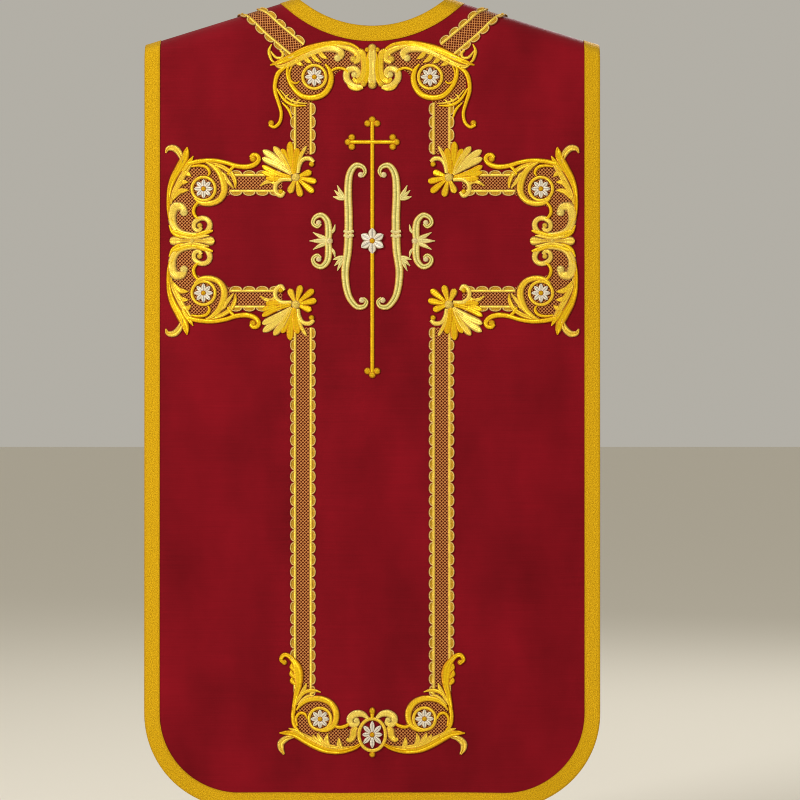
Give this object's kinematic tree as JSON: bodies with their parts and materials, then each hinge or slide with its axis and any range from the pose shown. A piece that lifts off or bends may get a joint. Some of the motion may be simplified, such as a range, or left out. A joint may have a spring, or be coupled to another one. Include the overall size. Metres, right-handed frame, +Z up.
{
  "type": "chasuble",
  "caption": "Stiff Roman chasuble of crimson silk with gold edge braid and an embroidered cross orphrey, hanging from the shoulders in a wide back panel and a narrower front panel.",
  "frame": {"origin": "middle of the neck opening, level with the axis of the shoulder fold where the fold meets the neck", "axes": "+Z up, +X to the wearer's right, +Y from the back panel towards the front panel"},
  "size_m": [0.638, 0.059, 1.137],
  "materials": {
    "face_cloth": "woven silk, soft sheen",
    "interlining": "stiff linen canvas",
    "lining": "satin lining",
    "galloon": "woven gold braid, satin",
    "net_band": "fine gold net on brown ground with gold scallops",
    "gold_thread": "gold satin stitch",
    "pale_gold_thread": "pale gold satin stitch",
    "silver_thread": "silver satin stitch"
  },
  "bodies": {
    "back": {"back_lining": "lining", "back_interlining": "interlining", "back_face_cloth": "face_cloth", "back_edge_galloon": "galloon", "neck_galloon_back": "galloon", "neck_band": "net_band", "foot_band": "net_band", "neck_clasp": "gold_thread", "foot_cartouche": "gold_thread", "cartouche_flower": "silver_thread", "centre_flower": "silver_thread", "staff_cross": "gold_thread", "shoulder_band_left": "net_band", "shoulder_band_right": "net_band", "upper_band_left": "net_band", "upper_band_right": "net_band", "arm_band_left": "net_band", "arm_band_right": "net_band", "lower_band_left": "net_band", "lower_band_right": "net_band", "neck_corner_scroll_left": "gold_thread", "neck_corner_scroll_right": "gold_thread", "upper_leaf_left": "gold_thread", "upper_leaf_right": "gold_thread", "upper_arm_scroll_left": "gold_thread", "upper_arm_scroll_right": "gold_thread", "upper_arm_flower_left": "silver_thread", "upper_arm_flower_right": "silver_thread", "lower_leaf_left": "gold_thread", "lower_leaf_right": "gold_thread", "lower_arm_scroll_left": "gold_thread", "lower_arm_scroll_right": "gold_thread", "lower_arm_flower_left": "silver_thread", "lower_arm_flower_right": "silver_thread", "arm_clasp_left": "gold_thread", "arm_clasp_right": "gold_thread", "foot_corner_scroll_left": "gold_thread", "foot_corner_scroll_right": "gold_thread", "neck_flower_left": "silver_thread", "neck_flower_right": "silver_thread", "foot_flower_left": "silver_thread", "foot_flower_right": "silver_thread", "tall_scroll_left": "pale_gold_thread", "tall_scroll_right": "pale_gold_thread", "side_scroll_left": "pale_gold_thread", "side_scroll_right": "pale_gold_thread"},
    "front": {"front_lining": "lining", "front_interlining": "interlining", "front_face_cloth": "face_cloth", "front_edge_galloon": "galloon", "neck_galloon_front": "galloon", "front_foot_band": "net_band", "front_cartouche": "gold_thread", "front_cartouche_flower": "silver_thread", "front_band_left": "net_band", "front_band_right": "net_band", "front_corner_scroll_left": "gold_thread", "front_corner_scroll_right": "gold_thread", "front_flower_left": "silver_thread", "front_flower_right": "silver_thread"}
  },
  "joints": [
    {"name": "front_swing", "type": "hinge", "parent": "back", "child": "front", "pos_m": [0, 0.0261, -0.095], "axis": [1, 0, 0], "range_deg": [0, 90]}
  ]
}
